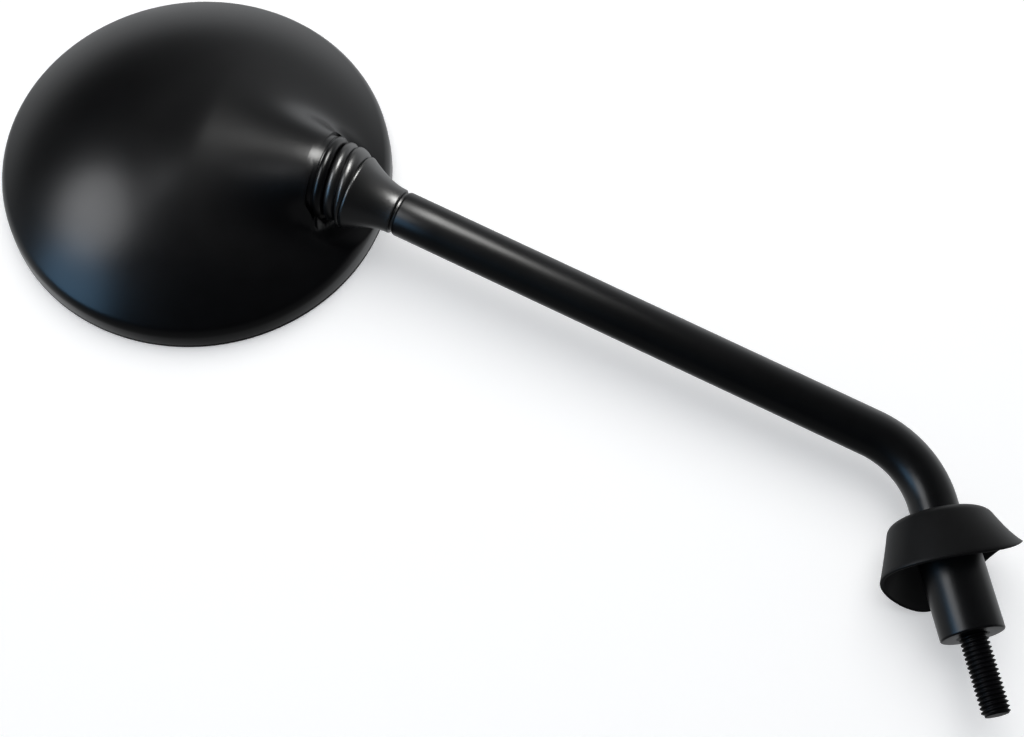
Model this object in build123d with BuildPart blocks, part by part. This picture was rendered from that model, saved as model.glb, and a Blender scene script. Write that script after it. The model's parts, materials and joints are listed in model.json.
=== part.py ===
from build123d import *
import os
from math import acos, asin, cos, degrees, radians, sin, sqrt

# A round motorcycle mirror on a bent stem with a ball joint behind its head.
# Sizes are in millimetres and angles in degrees.
# The origin is the centre of the sleeve's seat. +Z runs up the leg, the stem leans
# out to +X, and the glass looks to -Y, back at the rider.

# Threaded stud and the sleeve that carries it
STUD_RADIUS = 4.0
STUD_REACH = 22.0
STUD_CHAMFER = 0.8
STUD_ROOT_RADIUS = 4.6
STUD_HELD_LENGTH = 12.0
SLEEVE_RADIUS = 9.0
SLEEVE_LENGTH = 30.0
SLEEVE_CHAMFER = 0.6

# Bent stem tube
TUBE_RADIUS = 7.0
TUBE_WALL = 1.5
TUBE_CHAMFER = 0.4
BEND_HEIGHT = 39.2
BEND_RADIUS = 28.8
BEND_ANGLE = 54.5
STEM_LENGTH = 153.35

# Rubber base boot over the sleeve
BOOT_RIM_RADIUS = 20.0
BOOT_RIM_HEIGHT = 19.5
BOOT_SHOULDER_RADIUS = 14.2
BOOT_HEIGHT = 17.0
BOOT_WALL = 2.0
BOOT_ROUND = 3.5
BOOT_LIP_ROUND = 0.6

# Ball joint at the top of the stem
BALL_RADIUS = 9.0
BALL_REACH = 28.5
BALL_NECK_RADIUS = 5.0
SHANK_START = 15.0
SHANK_HELD_LENGTH = 20.0
LINER_WALL = 1.5
LINER_MOUTH_ANGLE = 52.0
LINER_VENT_RADIUS = 3.0
LINER_SLOT = 1.6

# How the head is set on its ball
HEAD_TWIST = -3.4
HEAD_TILT = 2.1
HEAD_SWING = 7.1

# Head shell, with heights measured from the rim plane
HEAD_RADIUS = 61.2
HEAD_WALL = 2.4
SHELL_FOOT = 1.3
SKIRT_HEIGHT = 8.2
SKIRT_DRAFT = 0.5
DOME_HEIGHT = 23.4
CREASE_RADIUS = 6.0
FOOT_ROUND = 0.5
AXIS_DROP = 7.8
BALL_INSET = 19.4

# Neck fairing, its end ring and the scallop that clears the stem
NECK_RADIUS = 12.6
NECK_PAST_CENTRE = 6.3
NECK_BLEND = 7.0
MOUTH_REACH = 6.6
RING_RADIUS = 13.4
RING_WIDTH = 3.6
SCALLOP_FLOOR = 8.5
SCALLOP_START = 3.0
SCALLOP_ROUND = 1.2

# Socket boss inside the shell and the cap that clamps the ball
BOSS_WALL = 3.8
BOSS_DROP = 8.0
CAP_FLANGE = 3.0
CAP_CUP_WALL = 2.8
CAP_SPIGOT = 3.0
SCREW_CIRCLE = 18.5
SCREW_ANGLES = (0.0, 75.0, -75.0)
SCREW_RADIUS = 1.75
SCREW_BITE = 4.8
SCREW_HEAD_RADIUS = 3.4
SCREW_HEAD_HEIGHT = 2.2
SCREW_HEAD_ROUND = 0.8
LOBE_RADIUS = 4.6
WASHER_RADIUS = 3.9
WASHER_THICKNESS = 0.8

# Dust boot between neck and stem, measured from the ball's centre along the stem
MOUTH_GAP = 1.0
BEAD_RADIUS = 12.2
BEAD_WIDTH = 3.4
BEAD_ROUND = 1.4
BEAD_OVERLAP = 0.5
BELLOWS_WALL = 2.4
BELL_RADIUS = 11.2
BELL_WAIST_RADIUS = 8.2
BELL_END_RADIUS = 7.1
BELL_WALL = 1.9
SEAM_GAP = 0.4
SEAM_CHAMFER = 0.3

# Glass, its gasket and the pad behind it
GLASS_THICKNESS = 2.2
GLASS_CURVE = 1200.0
GLASS_SET_BACK = 2.4
GASKET_WALL = 1.7
GASKET_FRONT_LIP = 1.9
GASKET_BACK_LIP = 1.3
GASKET_BEVEL = 0.6
PAD_INSET = 2.9
PAD_GAP = 0.3

# Clearances
FIT = 0.05
RUN = 0.1
PARTING = 0.1
SEAT_GAP = 0.1


# Where the stem ends and where the ball sits
bend = radians(BEND_ANGLE)
stem_dir = Vector(sin(bend), 0, cos(bend))
bend_end = Vector(BEND_RADIUS * (1 - cos(bend)), 0, BEND_HEIGHT + BEND_RADIUS * sin(bend))
tube_end = bend_end + stem_dir * STEM_LENGTH
ball_centre = tube_end + stem_dir * BALL_REACH
stem_axis = Axis(ball_centre, stem_dir)

# Which way the head faces and which way its neck runs, from the ball towards the head's centre
face_dir = Vector(0, 1, 0).rotate(stem_axis, HEAD_TWIST)
tilt_axis = Axis(ball_centre, face_dir.cross(stem_dir))
face_dir = face_dir.rotate(tilt_axis, HEAD_TILT)
neck_dir = stem_dir.rotate(tilt_axis, HEAD_TILT).rotate(Axis(ball_centre, face_dir), HEAD_SWING)
neck_axis = Axis(ball_centre, neck_dir)
half_dir = (stem_dir + neck_dir).normalized()
half_axis = Axis(ball_centre, half_dir)

# Where the head sits from its ball
head_height = SKIRT_HEIGHT + DOME_HEIGHT
axis_height = head_height - AXIS_DROP
ball_to_centre = HEAD_RADIUS - BALL_INSET
neck_length = ball_to_centre + NECK_PAST_CENTRE

# Working planes: at the ball with the glass's normal as Z, and a section through the head's axis
ball_plane = Plane(origin=ball_centre, x_dir=neck_dir, z_dir=face_dir)
rim_centre = ball_centre + neck_dir * ball_to_centre - face_dir * axis_height
head_axis = Axis(rim_centre, face_dir)
head_section = Plane(origin=rim_centre, x_dir=neck_dir, z_dir=neck_dir.cross(face_dir))


def section_along(direction):
    """Section through the ball's centre: X runs from the ball down the stem, Y is radius."""
    outward = direction * -1
    return Plane(origin=ball_centre, x_dir=outward, z_dir=outward.cross(face_dir))


neck_section = section_along(neck_dir)
half_section = section_along(half_dir)
stem_section = section_along(stem_dir)

# Radii that follow from the sizes above
tube_bore = TUBE_RADIUS - TUBE_WALL
shank_radius = tube_bore - FIT
liner_inner = BALL_RADIUS + RUN
liner_outer = liner_inner + LINER_WALL
seat_radius = liner_outer + RUN
mouth_radius = seat_radius * sin(radians(LINER_MOUTH_ANGLE))
boss_radius = seat_radius + BOSS_WALL
skirt_top_radius = HEAD_RADIUS - SKIRT_DRAFT
dome_radius = (skirt_top_radius**2 + DOME_HEIGHT**2) / (2 * DOME_HEIGHT)
dome_centre = head_height - dome_radius
inner_radius = HEAD_RADIUS - HEAD_WALL
inner_top_radius = skirt_top_radius - HEAD_WALL
inner_dome = dome_radius - HEAD_WALL
inner_shoulder = dome_centre + sqrt(inner_dome**2 - inner_top_radius**2)
inner_draft = (inner_radius - inner_top_radius) / (inner_shoulder - SHELL_FOOT)
scallop_radius = axis_height - SCALLOP_FLOOR
jacket_radius = scallop_radius + HEAD_WALL
jacket_start = SCALLOP_START - HEAD_WALL
backing_top = SCALLOP_FLOOR - HEAD_WALL - PAD_GAP
groove_radius = inner_radius - SEAT_GAP - GASKET_WALL
glass_radius = groove_radius - SEAT_GAP
pad_radius = glass_radius - PAD_INSET
bezel_radius = glass_radius - GASKET_FRONT_LIP
back_lip_radius = glass_radius - GASKET_BACK_LIP


os.makedirs("parts", exist_ok=True)


# Threaded stud, drawn as its crest cylinder, with a thicker root pressed into the sleeve
with BuildPart() as mount_stud:
    with Locations((0, 0, -STUD_REACH)):
        Cylinder(STUD_RADIUS, STUD_REACH, align=(Align.CENTER, Align.CENTER, Align.MIN))
    chamfer(mount_stud.edges().group_by(Axis.Z)[0], STUD_CHAMFER)
    Cylinder(STUD_ROOT_RADIUS, STUD_HELD_LENGTH, align=(Align.CENTER, Align.CENTER, Align.MIN))
mount_stud.part.label = "mount_stud"
export_step(mount_stud.part, "parts/mount_stud.step")


# Sleeve: stud bore below, tube socket above
with BuildPart() as mount_sleeve:
    Cylinder(SLEEVE_RADIUS, SLEEVE_LENGTH, align=(Align.CENTER, Align.CENTER, Align.MIN))
    outer_edges = mount_sleeve.edges().filter_by(GeomType.CIRCLE)
    chamfer(outer_edges, SLEEVE_CHAMFER)
    Cylinder(
        STUD_ROOT_RADIUS + FIT,
        STUD_HELD_LENGTH,
        align=(Align.CENTER, Align.CENTER, Align.MIN),
        mode=Mode.SUBTRACT,
    )
    with Locations((0, 0, STUD_HELD_LENGTH)):
        Cylinder(
            TUBE_RADIUS + FIT,
            SLEEVE_LENGTH - STUD_HELD_LENGTH,
            align=(Align.CENTER, Align.CENTER, Align.MIN),
            mode=Mode.SUBTRACT,
        )
mount_sleeve.part.label = "mount_sleeve"
export_step(mount_sleeve.part, "parts/mount_sleeve.step")


# Stem: a round tube with one bend, its foot standing on the sleeve's inner shoulder
with BuildPart() as stem_tube:
    with BuildLine(Plane.XZ) as stem_path:
        Line((0, STUD_HELD_LENGTH), (0, BEND_HEIGHT))
        CenterArc((BEND_RADIUS, BEND_HEIGHT), BEND_RADIUS, 180, -BEND_ANGLE)
        Line((bend_end.X, bend_end.Z), (tube_end.X, tube_end.Z))
    with BuildSketch(Plane.XY.offset(STUD_HELD_LENGTH)):
        Circle(TUBE_RADIUS)
        Circle(tube_bore, mode=Mode.SUBTRACT)
    sweep(path=stem_path.wire())
    end_edges = stem_tube.edges().filter_by(GeomType.CIRCLE).group_by(Axis.X)[-1]
    chamfer(end_edges.sort_by(SortBy.LENGTH)[-1], TUBE_CHAMFER)
stem_tube.part.label = "stem_tube"
export_step(stem_tube.part, "parts/stem_tube.step")


# Base boot: a moulded rubber cup, open below, gripping the tube at its top
boot_top = BOOT_RIM_HEIGHT + BOOT_HEIGHT
boot_hole = TUBE_RADIUS + SEAT_GAP
with BuildPart() as base_boot:
    with BuildSketch(Plane.XZ):
        with BuildLine():
            Polyline(
                (boot_hole, boot_top),
                (BOOT_SHOULDER_RADIUS, boot_top),
                (BOOT_RIM_RADIUS, BOOT_RIM_HEIGHT),
                (BOOT_RIM_RADIUS - BOOT_WALL, BOOT_RIM_HEIGHT),
                (BOOT_SHOULDER_RADIUS - BOOT_WALL, boot_top - BOOT_WALL),
                (boot_hole, boot_top - BOOT_WALL),
                close=True,
            )
        boot_face = make_face()
        corners = boot_face.vertices().group_by(Axis.Y)
        fillet(corners[-1].sort_by(Axis.X)[-1], BOOT_ROUND)
        fillet(corners[0], BOOT_LIP_ROUND)
    revolve(axis=Axis.Z)
base_boot.part.label = "base_boot"
export_step(base_boot.part, "parts/base_boot.step")


# Ball stud: ball, neck and the shank pressed into the tube
shank_end = BALL_REACH + SHANK_HELD_LENGTH
neck_start = sqrt(BALL_RADIUS**2 - BALL_NECK_RADIUS**2)
with BuildPart() as ball_stud:
    with BuildSketch(stem_section):
        with BuildLine():
            CenterArc((0, 0), BALL_RADIUS, 180, -180 + degrees(asin(BALL_NECK_RADIUS / BALL_RADIUS)))
            Polyline(
                (neck_start, BALL_NECK_RADIUS),
                (SHANK_START, BALL_NECK_RADIUS),
                (SHANK_START, shank_radius),
                (shank_end, shank_radius),
                (shank_end, 0),
                (-BALL_RADIUS, 0),
            )
        make_face()
    revolve(axis=stem_axis)
ball_stud.part.label = "ball_stud"
export_step(ball_stud.part, "parts/ball_stud.step")


# Socket liner: a slit nylon shell that floats between the ball and its seat
with BuildPart() as socket_liner:
    with BuildSketch(neck_section):
        vent_inner = degrees(asin(LINER_VENT_RADIUS / liner_inner))
        vent_outer = degrees(asin(LINER_VENT_RADIUS / liner_outer))
        mouth = radians(LINER_MOUTH_ANGLE)
        with BuildLine():
            CenterArc((0, 0), liner_outer, LINER_MOUTH_ANGLE, 180 - vent_outer - LINER_MOUTH_ANGLE)
            CenterArc((0, 0), liner_inner, LINER_MOUTH_ANGLE, 180 - vent_inner - LINER_MOUTH_ANGLE)
            Line(
                (liner_inner * cos(mouth), liner_inner * sin(mouth)),
                (liner_outer * cos(mouth), liner_outer * sin(mouth)),
            )
            Line(
                (-sqrt(liner_inner**2 - LINER_VENT_RADIUS**2), LINER_VENT_RADIUS),
                (-sqrt(liner_outer**2 - LINER_VENT_RADIUS**2), LINER_VENT_RADIUS),
            )
        make_face()
    revolve(axis=neck_axis)
    with BuildSketch(neck_section):
        with Locations((liner_outer / 2, liner_outer)):
            Rectangle(liner_outer, 2 * liner_outer)
    extrude(amount=LINER_SLOT / 2, both=True, mode=Mode.SUBTRACT)
socket_liner.part.label = "socket_liner"
export_step(socket_liner.part, "parts/socket_liner.step")


# Where the clamp screws stand around the ball, in the ball's own plane
screw_places = [
    (SCREW_CIRCLE * cos(radians(angle)), SCREW_CIRCLE * sin(radians(angle))) for angle in SCREW_ANGLES
]
boss_face = ball_plane.offset(-BOSS_DROP)
scallop_end = BALL_REACH + HEAD_RADIUS
neck_run = 2 * MOUTH_REACH
ring_root = RING_RADIUS - RING_WIDTH / 2
scallop_round = min(SCALLOP_ROUND, (scallop_radius - ring_root) / 2)

# Hollow of the shell, leaving the socket boss, the screw posts and the wall round the scallop
with BuildPart() as head_hollow:
    with BuildSketch(head_section):
        inner_rise = degrees(acos(inner_top_radius / inner_dome))
        with BuildLine():
            Polyline(
                (0, head_height - HEAD_WALL),
                (0, 0),
                (inner_radius, 0),
                (inner_radius, SHELL_FOOT),
                (inner_top_radius, inner_shoulder),
            )
            CenterArc((0, dome_centre), inner_dome, inner_rise, 90 - inner_rise)
        make_face()
    revolve(axis=head_axis)
    with BuildSketch(neck_section):
        with BuildLine():
            Polyline((0, NECK_RADIUS - HEAD_WALL), (0, 0), (HEAD_WALL - neck_length, 0))
            EllipticalCenterArc((0, 0), neck_length - HEAD_WALL, NECK_RADIUS - HEAD_WALL, 90, arc_size=90)
        make_face()
    revolve(axis=neck_axis)
    with BuildSketch(boss_face):
        Circle(boss_radius)
        with Locations(screw_places):
            Circle(LOBE_RADIUS)
    extrude(amount=BOSS_DROP + head_height, mode=Mode.SUBTRACT)
    with BuildSketch(neck_section):
        with BuildLine():
            Polyline(
                (jacket_start, 0),
                (scallop_end, 0),
                (scallop_end, jacket_radius),
                (jacket_start, jacket_radius),
                close=True,
            )
        make_face()
    revolve(axis=neck_axis, mode=Mode.SUBTRACT)


def before_run_end(edge):
    """True of an edge on the head's side of the face that ends the neck's run."""
    return neck_section.to_local_coords(edge @ 0.5).X < neck_run - FIT


# Head shell: domed cup with a drafted skirt, neck fairing, scallop and socket
with BuildPart() as head_shell:
    with BuildSketch(head_section):
        rise = degrees(acos(skirt_top_radius / dome_radius))
        with BuildLine():
            Polyline(
                (0, head_height),
                (0, SHELL_FOOT),
                (HEAD_RADIUS, SHELL_FOOT),
                (skirt_top_radius, SKIRT_HEIGHT),
            )
            CenterArc((0, dome_centre), dome_radius, rise, 90 - rise)
        shell_face = make_face()
        corners = shell_face.vertices().group_by(Axis.X)
        fillet(corners[-2], CREASE_RADIUS)
        fillet(shell_face.vertices().sort_by(Axis.X)[-1], FOOT_ROUND)
    revolve(axis=head_axis)
    with BuildSketch(neck_section):
        with BuildLine():
            Polyline((0, NECK_RADIUS), (neck_run, NECK_RADIUS), (neck_run, 0), (-neck_length, 0))
            EllipticalCenterArc((0, 0), neck_length, NECK_RADIUS, 90, arc_size=90)
        make_face()
    revolve(axis=neck_axis)
    fillet(head_shell.edges(Select.NEW).filter_by(before_run_end), NECK_BLEND)
    with BuildSketch(neck_section):
        with BuildLine():
            Polyline(
                (SCALLOP_START, ring_root),
                (SCALLOP_START, scallop_radius),
                (scallop_end, scallop_radius),
                (scallop_end, 0),
                (MOUTH_REACH, 0),
                (MOUTH_REACH, ring_root),
                close=True,
            )
        scallop_face = make_face()
        fillet(scallop_face.vertices().sort_by(Axis.X)[:2].sort_by(Axis.Y)[-1], scallop_round)
    revolve(axis=neck_axis, mode=Mode.SUBTRACT)
    with BuildSketch(neck_section):
        with Locations((MOUTH_REACH - RING_WIDTH / 2, ring_root)):
            Circle(RING_WIDTH / 2)
    revolve(axis=neck_axis)
    add(head_hollow.part, mode=Mode.SUBTRACT)
    with Locations(ball_plane):
        Sphere(seat_radius, mode=Mode.SUBTRACT)
    with BuildSketch(ball_plane):
        Circle(seat_radius)
    extrude(amount=-BOSS_DROP, mode=Mode.SUBTRACT)
    with BuildSketch(Plane(origin=ball_centre, z_dir=neck_dir * -1)):
        Circle(mouth_radius)
    extrude(amount=MOUTH_REACH, mode=Mode.SUBTRACT)
    with BuildSketch(boss_face):
        with Locations(screw_places):
            Circle(SCREW_RADIUS + FIT)
    extrude(amount=SCREW_BITE, mode=Mode.SUBTRACT)
head_shell.part.label = "head_shell"
export_step(head_shell.part, "parts/head_shell.step")


# Socket cap: a flange on the boss, with a cup that closes the seat under the ball
with BuildPart() as socket_cap:
    with BuildSketch(boss_face):
        Circle(boss_radius)
        with Locations(screw_places):
            Circle(LOBE_RADIUS)
        make_hull()
    extrude(amount=-CAP_FLANGE)
    with Locations(Plane(origin=rim_centre + face_dir * dome_centre, z_dir=face_dir)):
        Sphere(inner_dome - SEAT_GAP, mode=Mode.INTERSECT)
    with BuildSketch(boss_face):
        Circle(seat_radius - SEAT_GAP)
    extrude(amount=CAP_SPIGOT)
    with Locations(ball_plane):
        Sphere(seat_radius + CAP_CUP_WALL)
    with BuildSketch(boss_face):
        Circle(seat_radius + CAP_CUP_WALL)
        Circle(seat_radius - SEAT_GAP, mode=Mode.SUBTRACT)
    extrude(amount=2 * seat_radius, mode=Mode.SUBTRACT)
    with BuildSketch(boss_face.offset(CAP_SPIGOT)):
        Circle(seat_radius + CAP_CUP_WALL)
    extrude(amount=2 * seat_radius, mode=Mode.SUBTRACT)
    with Locations(ball_plane):
        Sphere(seat_radius, mode=Mode.SUBTRACT)
    with BuildSketch(boss_face):
        with Locations(screw_places):
            Circle(SCREW_RADIUS + RUN)
    extrude(amount=-CAP_FLANGE, mode=Mode.SUBTRACT)
    with BuildSketch(Plane(origin=ball_centre - neck_dir * (jacket_start - SEAT_GAP), z_dir=neck_dir * -1)):
        Rectangle(4 * boss_radius, 4 * boss_radius)
    extrude(amount=2 * boss_radius, mode=Mode.SUBTRACT)
socket_cap.part.label = "socket_cap"
export_step(socket_cap.part, "parts/socket_cap.step")


# Washers and pan-head screws that hold the cap
cap_face = boss_face.offset(-CAP_FLANGE)
with BuildPart() as cap_washers:
    with BuildSketch(cap_face):
        with Locations(screw_places):
            Circle(WASHER_RADIUS)
        with Locations(screw_places):
            Circle(SCREW_RADIUS + RUN, mode=Mode.SUBTRACT)
    extrude(amount=-WASHER_THICKNESS)
cap_washers.part.label = "cap_washers"
export_step(cap_washers.part, "parts/cap_washers.step")

screw_seat = cap_face.offset(-WASHER_THICKNESS)
with BuildPart() as cap_screws:
    with BuildSketch(screw_seat):
        with Locations(screw_places):
            Circle(SCREW_RADIUS)
    extrude(amount=WASHER_THICKNESS + CAP_FLANGE + SCREW_BITE)
    with BuildSketch(screw_seat):
        with Locations(screw_places):
            Circle(SCREW_HEAD_RADIUS)
    extrude(amount=-SCREW_HEAD_HEIGHT)
    head_tops = cap_screws.faces(Select.LAST).sort_by(Axis(ball_centre, face_dir))[: len(screw_places)]
    fillet(head_tops.edges(), SCREW_HEAD_ROUND)
cap_screws.part.label = "cap_screws"
export_step(cap_screws.part, "parts/cap_screws.step")


# Dust boot: two bellows beads that lean with the head, and a bell that closes on the shank
bead_starts = (MOUTH_REACH + MOUTH_GAP, MOUTH_REACH + MOUTH_GAP + BEAD_WIDTH - BEAD_OVERLAP)
bell_start = bead_starts[1] + BEAD_WIDTH - BEAD_OVERLAP
bell_end = BALL_REACH - SEAM_GAP
bell_waist = (bell_start + bell_end) / 2
grip = shank_radius + RUN
with BuildPart() as dust_boot:
    for section, axis, start in (
        (neck_section, neck_axis, bead_starts[0]),
        (half_section, half_axis, bead_starts[1]),
    ):
        with BuildSketch(section):
            with Locations((start + BEAD_WIDTH / 2, BEAD_RADIUS - BELLOWS_WALL / 2)):
                RectangleRounded(BEAD_WIDTH, BELLOWS_WALL, min(BEAD_ROUND, BELLOWS_WALL / 2 - FIT))
        revolve(axis=axis)
    with BuildSketch(stem_section):
        with BuildLine():
            Spline(
                (bell_start, BELL_RADIUS),
                (bell_waist, BELL_WAIST_RADIUS),
                (bell_end - SEAM_CHAMFER, BELL_END_RADIUS),
            )
            Polyline(
                (bell_end - SEAM_CHAMFER, BELL_END_RADIUS),
                (bell_end, BELL_END_RADIUS - SEAM_CHAMFER),
                (bell_end, grip),
                (bell_waist, grip),
                (bell_start, BELL_RADIUS - BELL_WALL),
                (bell_start, BELL_RADIUS),
            )
        make_face()
    revolve(axis=stem_axis)
dust_boot.part.label = "dust_boot"
export_step(dust_boot.part, "parts/dust_boot.step")


# Convex glass, its curve centred on the head's axis
glass_edge_back = GLASS_SET_BACK + GLASS_THICKNESS
front_crown = GLASS_CURVE - sqrt(GLASS_CURVE**2 - glass_radius**2)


def glass_arc(radius, crown_height):
    """Arc of the glass's curve from the axis out to a radius, at a height on the axis."""
    sweep_angle = degrees(asin(radius / GLASS_CURVE))
    CenterArc((0, crown_height + GLASS_CURVE), GLASS_CURVE, -90, sweep_angle)
    return crown_height + GLASS_CURVE - sqrt(GLASS_CURVE**2 - radius**2)


front_height = GLASS_SET_BACK - front_crown
back_height = front_height + GLASS_THICKNESS
with BuildPart() as mirror_glass:
    with BuildSketch(head_section):
        with BuildLine():
            front_edge = glass_arc(glass_radius, front_height)
            back_edge = glass_arc(glass_radius, back_height)
            Line((0, front_height), (0, back_height))
            Line((glass_radius, front_edge), (glass_radius, back_edge))
        make_face()
    revolve(axis=head_axis)
mirror_glass.part.label = "mirror_glass"
export_step(mirror_glass.part, "parts/mirror_glass.step")


# Backing pad between the glass and the shell's inner works
with BuildPart() as backing_pad:
    with BuildSketch(head_section):
        with BuildLine():
            pad_edge = glass_arc(pad_radius, back_height + SEAT_GAP)
            Polyline(
                (pad_radius, pad_edge),
                (pad_radius, backing_top),
                (0, backing_top),
                (0, back_height + SEAT_GAP),
            )
        make_face()
    revolve(axis=head_axis)
backing_pad.part.label = "backing_pad"
export_step(backing_pad.part, "parts/backing_pad.step")


# Gasket: holds the glass in a groove, lines the skirt and covers its foot
gasket_top = SHELL_FOOT - PARTING
groove_low = GLASS_SET_BACK - SEAT_GAP
groove_high = glass_edge_back + SEAT_GAP
with BuildPart() as glass_gasket:
    with BuildSketch(head_section):
        with BuildLine():
            Polyline(
                (bezel_radius, groove_low - GASKET_BEVEL),
                (bezel_radius + GASKET_BEVEL, 0),
                (HEAD_RADIUS - GASKET_BEVEL, 0),
                (HEAD_RADIUS, GASKET_BEVEL),
                (HEAD_RADIUS, gasket_top),
                (inner_radius - SEAT_GAP, gasket_top),
                (inner_radius - inner_draft * (backing_top - SHELL_FOOT) - SEAT_GAP, backing_top),
                (back_lip_radius, backing_top),
                (back_lip_radius, groove_high),
                (groove_radius, groove_high),
                (groove_radius, groove_low),
                close=True,
            )
        make_face()
    revolve(axis=head_axis)
glass_gasket.part.label = "glass_gasket"
export_step(glass_gasket.part, "parts/glass_gasket.step")
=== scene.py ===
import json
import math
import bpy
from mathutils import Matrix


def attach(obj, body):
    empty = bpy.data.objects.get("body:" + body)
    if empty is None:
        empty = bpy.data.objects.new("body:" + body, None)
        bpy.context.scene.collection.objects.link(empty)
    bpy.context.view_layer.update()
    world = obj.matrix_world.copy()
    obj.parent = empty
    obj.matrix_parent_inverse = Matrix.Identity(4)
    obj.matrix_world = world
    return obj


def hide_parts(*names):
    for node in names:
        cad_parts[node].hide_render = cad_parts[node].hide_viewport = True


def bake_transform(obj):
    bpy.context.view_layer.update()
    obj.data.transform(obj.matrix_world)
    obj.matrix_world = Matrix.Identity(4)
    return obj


bl_info = {
    "name": "Round Handlebar Mirror",
    "version": (1, 0, 0),
    "blender": (4, 5, 0),
    "location": "3D View > Sidebar > Mirror",
    "description": "Models the shell, gaiter, stem, boots, thread and glass around the mirror's solids",
    "category": "Object",
}

import bpy
import numpy as np
from bpy.props import FloatProperty, FloatVectorProperty, PointerProperty
from mathutils import Euler, Matrix, Quaternion, Vector

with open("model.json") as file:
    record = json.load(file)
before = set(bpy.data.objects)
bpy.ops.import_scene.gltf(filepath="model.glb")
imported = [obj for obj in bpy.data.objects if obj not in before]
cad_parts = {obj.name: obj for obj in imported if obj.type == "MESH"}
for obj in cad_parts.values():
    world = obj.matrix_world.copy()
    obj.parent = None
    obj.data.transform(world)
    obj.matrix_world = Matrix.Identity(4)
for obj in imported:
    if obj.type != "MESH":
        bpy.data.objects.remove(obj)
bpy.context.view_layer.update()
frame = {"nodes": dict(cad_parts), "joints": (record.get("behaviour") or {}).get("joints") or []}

MM = 0.001
FULL_TURN = 2 * math.pi
QUARTER_TURN = math.pi / 2
HAIR = 0.01 * MM
MERGE_DISTANCE = 0.002 * MM
EDGE_STEPS = 6
JOINTS = {joint["name"]: joint for joint in frame["joints"]}
BALL_CENTRE = Vector(JOINTS["head_swivel"]["pos_m"])
STEM_DIRECTION = Vector(JOINTS["head_swivel"]["axis"]).normalized()
NECK_DIRECTION = Vector(JOINTS["head_turn"]["axis"]).normalized()
BEND_AXIS = Vector(JOINTS["head_tilt"]["axis"]).normalized()
REST_BEND = STEM_DIRECTION.angle(NECK_DIRECTION)


# Sizes and finishes that a user would change


def length(name, description, millimetres):
    """A length property, given in millimetres."""
    return FloatProperty(
        name=name, description=description, default=millimetres * MM, unit="LENGTH", precision=5
    )


def angle(name, description, degrees):
    """An angle property, given in degrees."""
    return FloatProperty(
        name=name, description=description, default=math.radians(degrees), subtype="ANGLE"
    )


def number(name, description, value):
    """A plain factor."""
    return FloatProperty(name=name, description=description, default=value, precision=4)


def colour(name, description, value):
    """A colour in linear light."""
    return FloatVectorProperty(
        name=name, description=description, default=value, subtype="COLOR", size=3, min=0.0, max=1.0
    )


class MirrorHeadSizes(bpy.types.PropertyGroup):
    """Sizes of the head, with heights measured from the rim plane"""

    twist: angle("Twist", "Turn of the head about the stem", -3.4)
    tilt: angle("Tilt", "Tip of the head's face towards the stem", 2.1)
    radius: length("Radius", "Outer radius of the skirt's foot", 61.2)
    wall: length("Wall", "Thickness of the shell", 2.4)
    foot: length("Foot", "Height of the shell's foot, above the gasket's edge", 1.3)
    foot_round: length("Foot round", "Rounding of the foot's outer edge", 0.5)
    skirt: length("Skirt", "Height of the skirt", 8.2)
    draft: length("Draft", "How far the skirt leans in", 0.5)
    dome: length("Dome", "Rise of the dome above the skirt", 23.4)
    crease: length("Crease", "Rounding between skirt and dome", 6.0)
    axis_drop: length("Axis drop", "Depth of the neck's axis below the dome's top", 7.8)
    ball_inset: length("Ball inset", "Distance of the ball inside the rim", 19.4)
    neck_radius: length("Neck radius", "Radius of the neck at the ball", 12.6)
    neck_taper: number("Neck taper", "How much of its radius the neck loses at the head's centre", 0.6)
    neck_side: number("Neck side", "How much wider than high the neck is at the ball", 1.12)
    neck_spread: number("Neck spread", "How much wider still it is at the head's centre", 0.9)
    tail_start: length("Tail start", "Where the neck's tail starts to sink, from the head's centre", 8.0)
    neck_fade: length("Neck fade", "Length over which the flanks fade beside the gaiter", 16.0)
    neck_blend: length("Neck blend", "Reach of the soft blend into the dome", 15.0)
    neck_end: length("Neck end", "Where the dome's own neck ends, from the ball", 1.5)
    groove_edge: length("Groove edge", "Where the collar's plain part ends, from the ball", 2.9)
    mouth_reach: length("Mouth reach", "Distance of the mouth from the ball", 6.0)
    seat_radius: length("Seat radius", "Radius of the ball's seat", 10.7)
    mouth_radius: length("Mouth radius", "Radius of the hole for the stem's shank", 8.43)
    ring_radius: length("Ring radius", "Outer radius of the ring round the mouth", 12.95)
    ring_width: length("Ring width", "Width of the ring", 3.2)
    scallop_floor: length("Scallop floor", "Height of the scallop's bottom", 8.5)
    scallop_half: length("Scallop half width", "Half the scallop's width at the neck's axis", 16.5)
    scallop_start: length("Scallop start", "How far behind the ball the scallop starts", 24.0)
    scallop_fade: length("Scallop fade", "Length over which the scallop opens", 26.0)
    lip_round: length("Lip round", "Rounding of the scallop's edge", 4.0)
    bore_round: length("Bore round", "Rounding of the edge beside the gaiter", 1.5)


class MirrorGlassSizes(bpy.types.PropertyGroup):
    """Sizes of the glass and its gasket"""

    radius: length("Glass radius", "Radius of the glass", 56.9)
    thickness: length("Glass thickness", "Thickness of the glass", 2.2)
    curve: length("Glass curve", "Radius of the convex face", 1200.0)
    set_back: length("Set back", "Depth of the glass's edge behind the bezel", 2.4)
    front_lip: length("Front lip", "How far the bezel laps the glass", 1.9)
    back_lip: length("Back lip", "How far the gasket laps the glass behind", 1.3)
    gasket_top: length("Gasket top", "Height of the gasket's back", 5.8)
    gasket_wall: length("Gasket wall", "Rubber between the glass and the shell", 1.7)
    bevel: length("Bevel", "Rounding of the bezel's edges", 0.6)
    gap: length("Gap", "Clearance round the glass", 0.1)


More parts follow.
